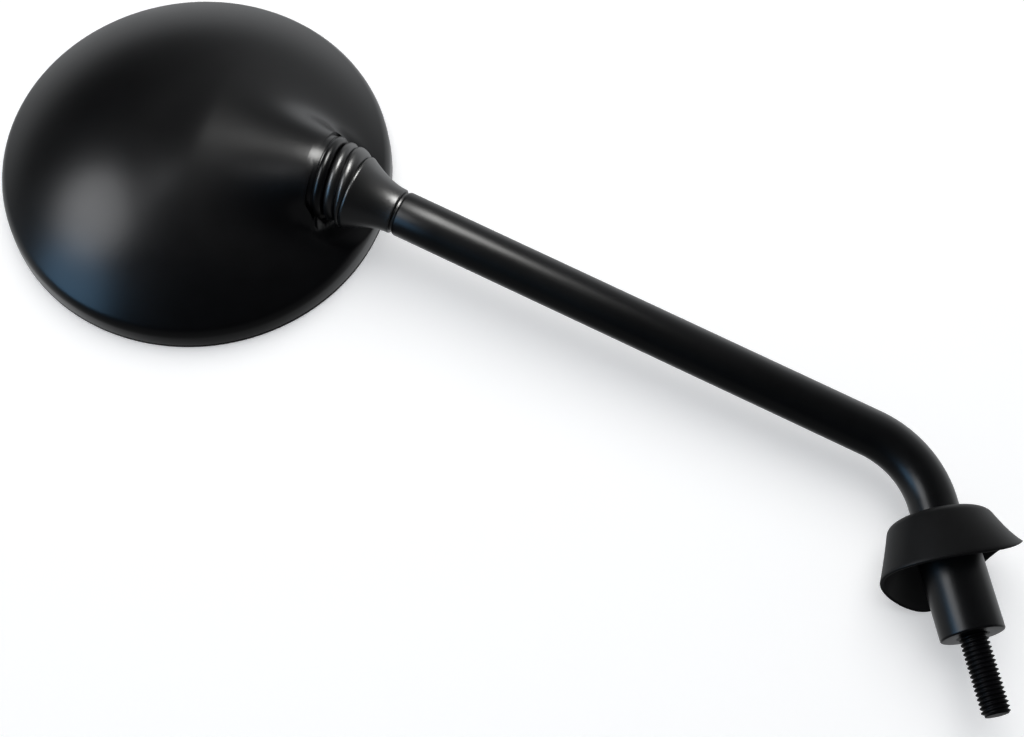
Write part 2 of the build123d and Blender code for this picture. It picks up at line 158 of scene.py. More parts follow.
class MirrorStemSizes(bpy.types.PropertyGroup):
    """Sizes of the stem tube, its sleeve and the stud"""

    tube_radius: length("Tube radius", "Outer radius of the tube", 7.0)
    tube_wall: length("Tube wall", "Thickness of the tube", 1.5)
    tube_end_round: length("Tube end", "Rounding of the tube's upper end", 0.8)
    bend_height: length("Bend height", "Height where the bend starts", 39.2)
    bend_radius: length("Bend radius", "Radius of the bend", 28.8)
    upper_length: length("Upper length", "Straight length above the bend", 153.35)
    sleeve_radius: length("Sleeve radius", "Outer radius of the sleeve", 9.0)
    sleeve_length: length("Sleeve length", "Length of the sleeve", 30.0)
    sleeve_round: length("Sleeve round", "Rounding of the sleeve's edges", 0.6)
    stud_radius: length("Stud radius", "Crest radius of the thread", 4.0)
    stud_reach: length("Stud reach", "Length of the stud below the sleeve", 22.0)
    stud_chamfer: length("Stud chamfer", "Chamfer of the stud's tip", 0.8)
    stud_held: length("Stud held", "Length of the stud inside the sleeve", 12.0)
    root_radius: length("Root radius", "Radius of the stud's pressed root", 4.6)
    pitch: length("Pitch", "Pitch of the thread", 1.25)
    thread_depth: length("Thread depth", "Depth of the thread", 0.72)
    fit: length("Fit", "Clearance of a pressed fit", 0.05)


class MirrorBootSizes(bpy.types.PropertyGroup):
    """Sizes of the rubber boot on the leg and of the gaiter at the head"""

    rim_radius: length("Rim radius", "Outer radius of the boot's rim", 20.0)
    rim_height: length("Rim height", "Height of the boot's rim above the sleeve's seat", 19.5)
    shoulder_radius: length("Shoulder radius", "Outer radius of the boot's shoulder", 14.2)
    height: length("Boot height", "Height of the boot", 17.0)
    wall: length("Boot wall", "Thickness of the boot", 2.0)
    rim_wall: length("Rim wall", "Thickness of the boot at its rim", 1.2)
    settle: length("Settle", "How far the boot's top has slid down", 2.2)
    top_lean: length("Top lean", "How far the top leans up towards the stem", 0.7)
    rim_squash: length("Rim squash", "How far the rim is squashed to an oval", 2.0)
    rim_lean_x: length("Rim lean X", "How far the rim leans down towards the stem", -2.6)
    rim_lean_y: length("Rim lean Y", "How far the rim leans up towards the back", 1.9)
    rim_wave: length("Rim wave", "Height of the rim's double wave", 3.4)
    rim_wave_turn: angle("Rim wave turn", "Where the double wave has its crest", 12.0)
    rim_ripple: length("Rim ripple", "Height of the rim's triple wave", 1.0)
    shoulder_round: length("Shoulder round", "Rounding of the shoulder", 3.5)
    mouth_gap: length("Mouth gap", "Gap between the neck's ring and the gaiter", 0.25)
    bead_radius: length("Bead radius", "Outer radius of the gaiter's beads", 12.2)
    bead_width: length("Bead width", "Width of a bead", 3.6)
    bead_overlap: length("Bead overlap", "How far one bead runs into the next", 0.2)
    bellows_wall: length("Bellows wall", "Thickness of the beads", 2.4)
    bell_radius: length("Bell radius", "Outer radius where the bell starts", 11.6)
    bell_ease: number("Bell ease", "How fast the bell narrows", 1.7)
    end_radius: length("End radius", "Outer radius where the bell meets the tube", 7.1)
    grip_radius: length("Grip radius", "Radius of the shank that the bell grips", 5.55)
    ball_reach: length("Ball reach", "Distance from the ball to the tube's end", 28.5)
    seam: length("Seam", "Gap between the bell and the tube", 0.8)
    seam_radius: length("Seam radius", "Radius of the rubber at the seam's bottom", 6.1)


class MirrorFinishes(bpy.types.PropertyGroup):
    """Colours of the finishes"""

    shell: colour("Shell", "Satin black of the head shell", (0.0014, 0.0014, 0.0018))
    paint: colour("Paint", "Satin black paint of stem and sleeve", (0.0016, 0.0017, 0.002))
    rubber: colour("Rubber", "Black of the boots", (0.003, 0.003, 0.0032))
    gasket: colour("Gasket", "Black of the gasket", (0.0016, 0.0016, 0.0018))
    thread: colour("Thread", "Black zinc of the stud", (0.0016, 0.0016, 0.002))
    plate: colour("Plate", "Bright zinc of the cap and its screws", (0.55, 0.56, 0.55))
    ball: colour("Ball", "Ground steel of the ball", (0.5, 0.5, 0.51))
    nylon: colour("Nylon", "Natural nylon of the liner", (0.68, 0.65, 0.57))
    felt: colour("Felt", "Dark felt behind the glass", (0.06, 0.06, 0.064))
    silver: colour("Silver", "Silvering of the glass", (0.86, 0.88, 0.89))


class MirrorStageSettings(bpy.types.PropertyGroup):
    """Camera, lamps and floor"""

    camera_place: FloatVectorProperty(
        name="Camera place",
        description="Where the camera stands",
        default=(0.18157, 0.39158, -0.07791),
        subtype="TRANSLATION",
        size=3,
    )
    camera_turn: FloatVectorProperty(
        name="Camera turn",
        description="Turn of the camera about X, Y and Z",
        default=(math.radians(114.057), math.radians(9.922), math.radians(174.388)),
        subtype="EULER",
        size=3,
    )
    lens: FloatProperty(name="Lens", description="Focal length in millimetres", default=52.82)
    floor_size: length("Floor size", "Side of the floor", 6000.0)
    floor_gap: length("Floor gap", "Gap between the rim and the floor", 0.2)
    floor_lift: number("Floor lift", "White that the floor adds to the light on it", 0.2)
    floor_near: length("Floor near", "Where the floor starts to fade into the backdrop", 340.0)
    floor_far: length("Floor far", "Where the floor is as white as the backdrop", 560.0)
    key_power: number("Key power", "Power of the key lamp in watts", 7.5)
    fill_power: number("Fill power", "Power of the shadowless fill in watts", 8.5)
    spot_spread: number("Spot spread", "Angle over which the small lamp shines in radians", 1.2)
    spot_power: number("Spot power", "Power of the small lamp over the neck in watts", 0.17)
    window_power: number("Window power", "Power of the window's sheen in watts", 4.6)
    sky_power: number("Sky power", "Power of the low bluish sheen in watts", 2.8)
    ambient: number("Ambient", "Brightness of the surroundings as a light", 0.15)
    far_glow: number("Far glow", "Brightness of the far wall in reflections", 0.78)
    ceiling: number("Ceiling", "Brightness of the dark room above in reflections", 0.03)
    near_table: number("Near table", "Brightness of the table's near side in reflections", 0.12)
    far_table: number("Far table", "Brightness of the table's far side in reflections", 0.7)


# Directions and places that follow from the frame


def ball_spot(head):
    """The ball's distance from the head's centre and its height above the rim plane."""
    return head.radius - head.ball_inset, head.skirt + head.dome - head.axis_drop


def head_frame(sizes):
    """Matrix of the head: X from its centre to the stem, Z out of the dome, origin on the rim plane."""
    face = Quaternion(STEM_DIRECTION, sizes.twist) @ Vector((0, 1, 0))
    face = Quaternion(face.cross(STEM_DIRECTION).normalized(), sizes.tilt) @ face
    outward = -NECK_DIRECTION
    across = face.cross(outward)
    ball, axis_height = ball_spot(sizes)
    centre = BALL_CENTRE - outward * ball - face * axis_height
    turn = Matrix((outward, across, face)).transposed()
    return Matrix.Translation(centre) @ turn.to_4x4()


def axis_frame(origin, direction):
    """Matrix with its Z along a direction, for a piece turned about it."""
    return Matrix.Translation(origin) @ direction.to_track_quat("Z", "Y").to_matrix().to_4x4()


# Modelling helpers


def arc_points(centre, radius, start, end, count):
    """Points (radius, height) of an arc in a turned profile, between two angles."""
    angles = np.linspace(start, end, count + 1)
    return [(centre[0] + radius * math.cos(a), centre[1] + radius * math.sin(a)) for a in angles]


def line_points(start, end, count):
    """Points (radius, height) along a straight line in a turned profile, past its start."""
    shares = np.linspace(0, 1, count)[1:]
    return [(start[0] + (end[0] - start[0]) * s, start[1] + (end[1] - start[1]) * s) for s in shares]


def start_piece(name):
    """A single vertex at the origin in edit mode, made from a plane whose corners are merged."""
    bpy.ops.object.select_all(action="DESELECT")
    bpy.ops.mesh.primitive_plane_add(size=MM, enter_editmode=True)
    piece = bpy.context.object
    piece.name = name
    piece.data.name = name
    bpy.ops.mesh.merge(type="CENTER")
    return piece


def close_piece():
    """Merges doubles, turns the faces outwards and leaves edit mode."""
    bpy.ops.mesh.select_all(action="SELECT")
    bpy.ops.mesh.remove_doubles(threshold=MERGE_DISTANCE)
    bpy.ops.mesh.normals_make_consistent(inside=False)
    bpy.ops.object.mode_set(mode="OBJECT")


def draw_profile(profile, heading=0.0):
    """Extrudes the single vertex along a profile of (radius, height) points, in a plane through Z."""
    out = Vector((math.cos(heading), math.sin(heading), 0))
    places = [out * radius + Vector((0, 0, height)) for radius, height in profile]
    bpy.ops.transform.translate(value=places[0])
    for here, there in zip(places, places[1:]):
        bpy.ops.mesh.extrude_vertices_move(TRANSFORM_OT_translate={"value": there - here})


def extrude(step):
    """Extrudes the selected edges by a step."""
    bpy.ops.mesh.extrude_region_move(TRANSFORM_OT_translate={"value": step})


def turned(name, profile, steps=160, sweeps=None, heading=0.0, closed=True):
    """A piece turned about Z: its profile is drawn, joined end to start if closed, and spun."""
    piece = start_piece(name)
    points = profile + [profile[0]] if closed else profile
    draw_profile(points, heading)
    bpy.ops.mesh.select_all(action="SELECT")
    bpy.ops.mesh.remove_doubles(threshold=MERGE_DISTANCE)
    bpy.ops.mesh.select_all(action="SELECT")
    for sweep, count in sweeps or [(FULL_TURN, steps)]:
        bpy.ops.mesh.spin(steps=count, angle=sweep, center=(0, 0, 0), axis=(0, 0, 1))
    close_piece()
    return piece


def choose(piece, *others):
    """Selects only these pieces, the first one active."""
    bpy.ops.object.select_all(action="DESELECT")
    for chosen in (piece, *others):
        chosen.select_set(True)
    bpy.context.view_layer.objects.active = piece


def place(piece, matrix):
    """Moves a piece by a matrix and applies it, so that its place is in its mesh."""
    choose(piece)
    piece.matrix_world = matrix
    bpy.ops.object.transform_apply(location=True, rotation=True, scale=True)


def combine(piece, other, operation):
    """Boolean of two closed pieces, applied, with the second one used up."""
    choose(piece)
    modifier = piece.modifiers.new(operation.title(), "BOOLEAN")
    modifier.operation = operation
    modifier.solver = "MANIFOLD"
    modifier.object = other
    bpy.ops.object.modifier_apply(modifier=modifier.name)
    bpy.data.objects.remove(other)


def join(piece, *others):
    """Joins pieces of one body into the first."""
    choose(piece, *others)
    bpy.ops.object.join()


def smooth(piece, limit):
    """Smooth shading, sharp only at edges over the limit."""
    choose(piece)
    bpy.ops.object.shade_smooth_by_angle(angle=math.radians(limit))


def vertex_array(piece):
    """The piece's vertices as rows of x, y and z."""
    flat = np.empty(len(piece.data.vertices) * 3)
    piece.data.vertices.foreach_get("co", flat)
    return flat.reshape(-1, 3)


def set_vertices(piece, places):
    """Puts moved vertices back."""
    piece.data.vertices.foreach_set("co", places.ravel())
    piece.data.update()


def smooth_step(value):
    """Eases a share from 0 to 1."""
    share = np.clip(value, 0, 1)
    return share * share * (3 - 2 * share)


def dress(piece, material, body, slot, *nodes, limit=40.0):
    """Smooths a piece, gives it its finish and its body, and hides the nodes that it stands for."""
    smooth(piece, limit)
    piece.data.materials.clear()
    piece.data.materials.append(material)
    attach(piece, body)
    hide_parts(*nodes)


# Materials

MIDDLE_NOISE = (0.3, 0.7)


def add_node(tree, kind, inputs=None, **settings):
    """A shader node with its settings, and its inputs set to values or linked to sockets."""
    node = tree.nodes.new("ShaderNode" + kind)
    for name, value in settings.items():
        setattr(node, name, value)
    for name, value in (inputs or {}).items():
        if isinstance(value, bpy.types.NodeSocket):
            tree.links.new(value, node.inputs[name])
        else:
            node.inputs[name].default_value = value
    return node


def new_material(name):
    """A material with its shader, and Object coordinates to hang patterns on."""
    material = bpy.data.materials.new(name)
    material.use_nodes = True
    tree = material.node_tree
    coordinates = add_node(tree, "TexCoord").outputs["Object"]
    return material, tree, tree.nodes["Principled BSDF"], coordinates


def noise(tree, coordinates, scale, detail=3.0, roughness=0.5):
    """Noise texture output, with its scale in waves per metre."""
    inputs = {"Vector": coordinates, "Scale": scale, "Detail": detail, "Roughness": roughness}
    return add_node(tree, "TexNoise", inputs).outputs["Fac"]


def ramp(tree, value, start, end, low, high, ease="SMOOTHSTEP"):
    """Change from low to high between two values."""
    inputs = {"Value": value, "From Min": start, "From Max": end, "To Min": low, "To Max": high}
    return add_node(tree, "MapRange", inputs, interpolation_type=ease).outputs["Result"]


def spread(tree, value, low, high):
    """Maps a texture's middle range onto low to high."""
    return ramp(tree, value, *MIDDLE_NOISE, low, high, ease="LINEAR")


def vary_colour(tree, shader, value, base, lift):
    """Gives a shader a colour that varies between a base and a lighter or darker tone of it."""
    lifted = (*[channel * lift for channel in base], 1)
    inputs = {"Factor": spread(tree, value, 0.0, 1.0), "A": (*base, 1), "B": lifted}
    mixed = add_node(tree, "Mix", inputs, data_type="RGBA")
    tree.links.new(mixed.outputs["Result"], shader.inputs["Base Color"])


def bump(tree, shader, value, height):
    """Fine relief on a shader, with its height in metres."""
    relief = add_node(tree, "Bump", {"Strength": 1.0, "Distance": height, "Height": value})
    tree.links.new(relief.outputs["Normal"], shader.inputs["Normal"])


# Each black finish: its colour, roughness from and to, specular level, waves of grain per metre and relief
BLACK_FINISHES = {
    "satin_black_shell": ("shell", (0.28, 0.32), 0.3, 2600.0, 0.008 * MM),
    "gasket_black": ("gasket", (0.45, 0.55), 0.2, 1500.0, 0.01 * MM),
    "gaiter_rubber": ("rubber", (0.33, 0.39), 0.75, 1400.0, 0.008 * MM),
    "satin_black_paint": ("paint", (0.3, 0.36), 0.27, 2200.0, 0.006 * MM),
    "black_zinc_thread": ("thread", (0.35, 0.5), 0.12, 1800.0, 0.01 * MM),
    "boot_rubber": ("rubber", (0.46, 0.56), 0.2, 1100.0, 0.015 * MM),
}


def black_finish(context, name):
    """A black finish with uneven sheen, faint tone changes and a fine grain, made once."""
    made = bpy.data.materials.get(name)
    if made:
        return made
    tone, roughness, specular, grain, relief = BLACK_FINISHES[name]
    material, tree, shader, coordinates = new_material(name)
    shader.inputs["Specular IOR Level"].default_value = specular
    mottling = noise(tree, coordinates, scale=45.0, detail=4.0)
    tree.links.new(spread(tree, mottling, *roughness), shader.inputs["Roughness"])
    cloud = noise(tree, coordinates, scale=160.0, detail=5.0, roughness=0.6)
    vary_colour(tree, shader, cloud, getattr(context.scene.mirror_finish, tone), lift=1.5)
    bump(tree, shader, noise(tree, coordinates, grain, detail=2.0), relief)
    return material


def bright_metal(name, base, low, high, lift=0.85, waves=900.0, detail=4.0):
    """Plated or ground steel with fine marks, or silvered glass with a faint haze."""
    material, tree, shader, coordinates = new_material(name)
    shader.inputs["Metallic"].default_value = 1.0
    marks = noise(tree, coordinates, waves, detail)
    vary_colour(tree, shader, marks, base, lift)
    tree.links.new(spread(tree, marks, low, high), shader.inputs["Roughness"])
    return material


def dull_solid(name, base, roughness, grain, relief):
    """Unpainted plastic or felt."""
    material, tree, shader, coordinates = new_material(name)
    shader.inputs["Roughness"].default_value = roughness
    tone = noise(tree, coordinates, grain, detail=4.0)
    vary_colour(tree, shader, tone, base, lift=0.8)
    bump(tree, shader, tone, relief)
    return material


# Head shell

TAPER_EASE = 1.3
TAIL_EASE = 5
BORE_LEEWAY = 1.02
SCALLOP_SHUT = -4
INNER_SHARE = 0.6
DOME_STEPS = 112
CREASE_STEPS = 12
INNER_STEPS = 56
DENSE_ARC = math.radians(104)
DENSE_STEPS = 250
COARSE_STEPS = 150


def shell_distance(head, x, y, z):
    """Signed distance to the shell's outer skin: the scalloped dome with the neck softly blended in."""
    ball, axis_height = ball_spot(head)
    dome_radius, dome_centre = dome_circle(head)
    along = x - ball
    rise = z - axis_height
    dome = np.sqrt(x**2 + y**2 + (z - dome_centre) ** 2) - dome_radius
    depth = axis_height - head.scallop_floor
    opening = smooth_step((along + head.scallop_start) / head.scallop_fade)
    closed = SCALLOP_SHUT * head.wall
    channel = closed + (depth - closed) * opening - np.hypot(y * depth / head.scallop_half, rise)
    scooped = rounded_cut(dome, channel, head.lip_round * opening)
    off_axis = np.hypot(y, rise)
    behind = np.clip(-along, 0, None) / ball
    oval = np.hypot(y / (head.neck_side + head.neck_spread * behind), rise)
    fade = (np.clip(along, 0, None) / head.neck_fade) ** 2
    sink = np.clip(head.tail_start - x, 0, None) ** 2 / (TAIL_EASE * head.tail_start)
    neck = oval - head.neck_radius * (1 - head.neck_taper * behind**TAPER_EASE - fade) + sink
    body = soft_union(scooped, neck, head.neck_blend)
    past = smooth_step((along - head.neck_end) / (head.ball_inset - head.neck_end))
    start = BORE_LEEWAY * head.neck_radius
    bore = np.minimum(start + (depth - start) * past - off_axis, along - head.neck_end)
    return rounded_cut(body, bore, head.bore_round * past)


def soft_union(first, second, reach):
    """Distance to two bodies with a cubic blend between them."""
    near = np.clip(1 - np.abs(first - second) / reach, 0, None)
    return np.minimum(first, second) - near**3 * reach / 6


def rounded_cut(body, void, radius):
    """Distance to a body less a void, with the edge between them rounded."""
    edge = np.hypot(np.clip(radius + body, 0, None), np.clip(radius + void, 0, None))
    return np.minimum(-radius, np.maximum(body, void)) + edge


def dome_circle(head):
    """Radius of the dome and the height of its centre."""
    edge = head.radius - head.draft
    radius = (edge**2 + head.dome**2) / (2 * head.dome)
    return radius, head.skirt + head.dome - radius


def shell_height(head, x, y, depth):
    """Height of the skin, or of the wall's inner face at a depth, found by halving."""
    low = np.zeros_like(x)
    high = np.full_like(x, 2 * (head.skirt + head.dome))
    for _ in range(40):
        middle = (low + high) / 2
        outside = shell_distance(head, x, y, middle) > -depth
        high = np.where(outside, middle, high)
        low = np.where(outside, low, middle)
    return (low + high) / 2


def crease_arc(head):
    """Centre of the crease's rounding and its angles where it leaves the skirt and meets the dome."""
    dome_radius, dome_centre = dome_circle(head)
    foot = Vector((head.radius, head.foot))
    up = Vector((-head.draft, head.skirt - head.foot)).normalized()
    inward = Vector((-up.y, up.x))
    start = foot + inward * head.crease - Vector((0, dome_centre))
    half = start.dot(up)
    run = -half + math.sqrt(half**2 - start.length_squared + (dome_radius - head.crease) ** 2)
    centre = foot + inward * head.crease + up * run
    skirt_angle = math.atan2(-inward.y, -inward.x)
    dome_angle = math.atan2(centre.y - dome_centre, centre.x)
    return centre, skirt_angle, dome_angle


def shell_profile(head):
    """Closed profile of the plain shell: dome, crease, skirt, foot, then up the inside."""
    dome_radius, dome_centre = dome_circle(head)
    centre, skirt_angle, dome_angle = crease_arc(head)
    outer = arc_points((0, dome_centre), dome_radius, QUARTER_TURN, dome_angle, DOME_STEPS)
    outer[0] = (0.0, outer[0][1])
    outer += arc_points(centre, head.crease, dome_angle, skirt_angle, CREASE_STEPS)[1:]
    foot_centre = (head.radius - head.foot_round, head.foot + head.foot_round)
    outer += arc_points(foot_centre, head.foot_round, 0, -QUARTER_TURN, EDGE_STEPS)
    inner_dome = dome_radius - head.wall
    inner_top = head.radius - head.draft - head.wall
    rise = math.acos(inner_top / inner_dome)
    inner = [(head.radius - head.wall, head.foot)]
    inner += arc_points((0, dome_centre), inner_dome, rise, QUARTER_TURN, INNER_STEPS)
    inner[-1] = (0.0, inner[-1][1])
    return outer, inner


def line_up(head, x, y, z):
    """Straightens the mesh's circles near the neck's end, so that one row lies along that edge."""
    edge = ball_spot(head)[0] + head.neck_end
    radius = np.hypot(x, y)
    side_full, side_ease = 16 * MM, 14 * MM
    reach_full, reach_ease = 6 * MM, 10 * MM
    snap, clear = 0.4 * MM, 0.02 * MM
    side = 1 - smooth_step((np.abs(y) - side_full) / side_ease)
    reach = 1 - smooth_step((np.abs(radius - edge) - reach_full) / reach_ease)
    share = np.where((x > 0) & (z > head.skirt), side * reach, 0)
    x += share * (radius - x)
    offset = x - edge
    close = (np.abs(offset) < snap) & (share > 0.98)
    x[close] = edge + np.sign(offset[close]) * clear


def shape_shell(piece, head):
    """Raises the neck out of the plain dome and sinks the scallop, outside and inside."""
    places = vertex_array(piece)
    x, y, z = places.T
    dome_radius, dome_centre = dome_circle(head)
    dome_angle = crease_arc(head)[2]
    radius = np.hypot(x, y)
    from_centre = np.hypot(radius, z - dome_centre)
    inside = from_centre < dome_radius - INNER_SHARE * head.wall
    crease_start = dome_radius * math.cos(dome_angle) - HAIR
    inner_start = head.radius - head.draft - head.wall - HAIR
    outer_dome = ~inside & (radius < crease_start)
    outer_edge = ~inside & ~outer_dome
    inner_dome = inside & (radius < inner_start) & (z > head.skirt / 2)
    line_up(head, x, y, z)
    for chosen, depth, cap in (
        (outer_dome, 0.0, False),
        (outer_edge, 0.0, True),
        (inner_dome, head.wall, False),
    ):
        height = shell_height(head, x[chosen], y[chosen], depth)
        z[chosen] = np.minimum(z[chosen], height) if cap else height
    set_vertices(piece, places)


def mouth_collar(head):
    """The ring round the neck's mouth and the short neck behind it, about the neck's axis."""
    seat_start, ring_end = -0.1, -0.95
    edge = 0.3 * MM
    corner = 0.3 * edge
    ring_half = head.ring_width / 2
    ring_root = head.ring_radius - ring_half
    ring_centre = (ring_root, head.mouth_reach - ring_half)
    seat_end = math.acos(head.mouth_radius / head.seat_radius)
    seat = arc_points((0, 0), head.seat_radius, seat_start, seat_end, 12)
    ring = arc_points(ring_centre, ring_half, QUARTER_TURN, ring_end, 20)
    skin = head.neck_radius + 2 * HAIR
    groove = [
        (skin - edge, head.groove_edge),
        (skin - corner, head.groove_edge - corner),
        (skin, head.groove_edge - edge),
        (skin, seat[0][1]),
    ]
    return turned("mouth_collar", seat + ring + groove)


class MIRROR_OT_head_shell(bpy.types.Operator):
    """Model the head shell: dome, crease, skirt, neck, ring and scallop"""

    bl_idname = "mirror.head_shell"
    bl_label = "Head Shell"

    def execute(self, context):
        head = context.scene.mirror_head
        outer, inner = shell_profile(head)
        sweeps = [(DENSE_ARC, DENSE_STEPS), (FULL_TURN - DENSE_ARC, COARSE_STEPS)]
        heading = -DENSE_ARC / 2
        shell = turned("head_shell_skin", outer + inner, sweeps=sweeps, heading=heading, closed=False)
        shape_shell(shell, head)
        distance, height = ball_spot(head)
        ball = Vector((distance, 0, height))
        seat_profile = arc_points((0, 0), head.seat_radius, -QUARTER_TURN, QUARTER_TURN, 48)
        seat = turned("seat_ball", seat_profile, steps=96, closed=False)
        place(seat, Matrix.Translation(ball))
        combine(shell, seat, "DIFFERENCE")
        collar = mouth_collar(head)
        place(collar, axis_frame(ball, Vector((1, 0, 0))))
        join(shell, collar)
        place(shell, head_frame(head))
        dress(shell, black_finish(context, "satin_black_shell"), "head", "black_shell", "head_shell")
        return {"FINISHED"}


# Glass and gasket


class MIRROR_OT_mirror_glass(bpy.types.Operator):
    """Model the convex glass"""

    bl_idname = "mirror.mirror_glass"
    bl_label = "Mirror Glass"

    def execute(self, context):
        sizes = context.scene.mirror_glass
        half = math.asin(sizes.radius / sizes.curve)
        drop = sizes.curve * (1 - math.cos(half))
        front = (0, sizes.set_back - drop + sizes.curve)
        back = (0, front[1] + sizes.thickness)
        down = -QUARTER_TURN
        profile = arc_points(front, sizes.curve, down, down + half, 24)
        profile += arc_points(back, sizes.curve, down + half, down, 24)
        profile[0] = (0.0, profile[0][1])
        profile[-1] = (0.0, profile[-1][1])
        glass = turned("mirror_glass_face", profile, steps=192, closed=False)
        place(glass, head_frame(context.scene.mirror_head))
        silver = context.scene.mirror_finish.silver
        finish = bright_metal("silvered_glass", silver, 0.012, 0.03, lift=0.985, waves=30.0, detail=3.0)
        dress(glass, finish, "head", "mirror_face", "mirror_glass")
        return {"FINISHED"}


class MIRROR_OT_glass_gasket(bpy.types.Operator):
    """Model the rubber gasket that holds the glass and covers the shell's foot"""

    bl_idname = "mirror.glass_gasket"
    bl_label = "Glass Gasket"

    def execute(self, context):
        head = context.scene.mirror_head
        sizes = context.scene.mirror_glass
        bezel = sizes.radius - sizes.front_lip
        groove = sizes.radius + sizes.gap
        low = sizes.set_back - sizes.gap
        high = sizes.set_back + sizes.thickness + sizes.gap
        wall = groove + sizes.gasket_wall
        top = head.foot - sizes.gap
        bevel = sizes.bevel
        slope = head.draft * (sizes.gasket_top - head.foot) / (head.skirt - head.foot)
        profile = [(bezel, low), (bezel, bevel)]
        corner = (bezel + bevel, bevel)
        profile += arc_points(corner, bevel, 2 * QUARTER_TURN, 3 * QUARTER_TURN, EDGE_STEPS)[1:]
        profile += arc_points((head.radius - bevel, bevel), bevel, -QUARTER_TURN, 0, EDGE_STEPS)
        profile += [
            (head.radius, top),
            (wall, top),
            (wall - slope, sizes.gasket_top),
            (sizes.radius - sizes.back_lip, sizes.gasket_top),
            (sizes.radius - sizes.back_lip, high),
            (groove, high),
            (groove, low),
        ]
        gasket = turned("glass_gasket_ring", profile, steps=256)
        place(gasket, head_frame(head))
        dress(gasket, black_finish(context, "gasket_black"), "head", "gasket_rubber", "glass_gasket")
        return {"FINISHED"}


# Gaiter between neck and stem

BEAD_ARC = 1.25
LIP_ARC = (-1.3, 0.6)
TUBE_GAP = 0.05 * MM


class MIRROR_OT_dust_boot(bpy.types.Operator):
    """Model the rubber gaiter: two beads that lean with the neck and a bell that grips the shank"""

    bl_idname = "mirror.dust_boot"
    bl_label = "Dust Boot"

    def execute(self, context):
        sizes = context.scene.mirror_boots
        start = context.scene.mirror_head.mouth_reach + sizes.mouth_gap
        step = sizes.bead_width - sizes.bead_overlap
        bell_start = start + 2 * step
        bell_end = sizes.ball_reach - sizes.seam
        profile = self.bead(sizes, start) + self.bead(sizes, start + step)
        profile += self.bell(sizes, bell_start, bell_end)
        hollow = sizes.bead_radius - sizes.bellows_wall
        profile += [
            (sizes.grip_radius, sizes.ball_reach - TUBE_GAP),
            (sizes.grip_radius, (bell_start + bell_end) / 2),
            (hollow, bell_start),
            (hollow, start),
        ]
        boot = turned("dust_boot_gaiter", profile)
        place(boot, axis_frame(BALL_CENTRE, -STEM_DIRECTION))
        self.lean(boot, start + step, bell_start)
        smooth(boot, 50.0)
        boot.data.materials.append(black_finish(context, "gaiter_rubber"))
        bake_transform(boot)
        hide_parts("dust_boot")
        return {"FINISHED"}

    def bead(self, sizes, start):
        """One rounded bead of the bellows."""
        half = sizes.bead_width / 2
        centre = (sizes.bead_radius - half, start + half)
        return arc_points(centre, half, -BEAD_ARC, BEAD_ARC, 14)

    def bell(self, sizes, start, end):
        """The bell's outside: a rounded lip, then a curve that eases onto the tube's size."""
        lip = 0.9 * MM
        points = arc_points((sizes.bell_radius - lip, start + lip), lip, *LIP_ARC, 8)
        first = points[-1]
        for share in np.linspace(0, 1, 19)[1:]:
            ease = 1 - (1 - share) ** sizes.bell_ease
            radius = first[0] + (sizes.end_radius - first[0]) * ease
            points.append((radius, first[1] + (end - lip - first[1]) * share))
        round_off = 0.5 * MM
        corner = (points[-1][0] - round_off, end - round_off)
        points += arc_points(corner, round_off, 0, QUARTER_TURN, 5)
        points += [(sizes.seam_radius, end), (sizes.seam_radius, sizes.ball_reach - TUBE_GAP)]
        return points

    def lean(self, boot, full, none):
        """Turns the beads about the ball, all of the neck's bend at full and nothing past none."""
        places = vertex_array(boot)
        offset = places - np.array(BALL_CENTRE)
        distance = -offset @ np.array(STEM_DIRECTION)
        turn = REST_BEND * (1 - smooth_step((distance - full) / (none - full)))
        axis = np.array(BEND_AXIS)
        cosine = np.cos(turn)[:, None]
        sine = np.sin(turn)[:, None]
        along = (offset @ axis)[:, None] * axis
        leaned = offset * cosine + np.cross(axis, offset) * sine + along * (1 - cosine)
        set_vertices(boot, leaned + np.array(BALL_CENTRE))


# Stem, sleeve and stud

BEND_STEPS = 48
STRAIGHT_STEPS = 12
END_STEPS = ((0.3, 0.985), (0.4, 0.97), (0.3, 0.96))
THREAD_STEPS = 40
ROOT_FLAT = 0.14
CREST_START = 0.5
CREST_END = 0.64
LEAD_IN = 1.5
LEAD_OUT = 0.3


class MIRROR_OT_stem_tube(bpy.types.Operator):
    """Model the bent tube by extruding and spinning a circle"""

    bl_idname = "mirror.stem_tube"
    bl_label = "Stem Tube"

    def execute(self, context):
        sizes = context.scene.mirror_stem
        bend = math.atan2(STEM_DIRECTION.x, STEM_DIRECTION.z)
        bpy.ops.object.select_all(action="DESELECT")
        bpy.ops.mesh.primitive_circle_add(vertices=96, radius=sizes.tube_radius, enter_editmode=True)
        tube = bpy.context.object
        tube.name = "stem_tube_bent"
        tube.data.name = tube.name
        bpy.ops.transform.translate(value=(0, 0, sizes.stud_held))
        extrude((0, 0, sizes.bend_height - sizes.stud_held))
        bpy.ops.mesh.spin(
            steps=BEND_STEPS, angle=-bend, center=(sizes.bend_radius, 0, sizes.bend_height), axis=(0, 1, 0)
        )
        straight = sizes.upper_length - sizes.tube_end_round
        for _ in range(STRAIGHT_STEPS):
            extrude(STEM_DIRECTION * (straight / STRAIGHT_STEPS))
        for share, shrink in END_STEPS:
            extrude(STEM_DIRECTION * (sizes.tube_end_round * share))
            bpy.ops.transform.resize(value=(shrink, shrink, shrink))
        close_piece()
        wall = tube.modifiers.new("Wall", "SOLIDIFY")
        wall.thickness = sizes.tube_wall
        wall.offset = -1.0
        bpy.ops.object.modifier_apply(modifier=wall.name)
        dress(tube, black_finish(context, "satin_black_paint"), "stem", "black_metal", "stem_tube")
        return {"FINISHED"}


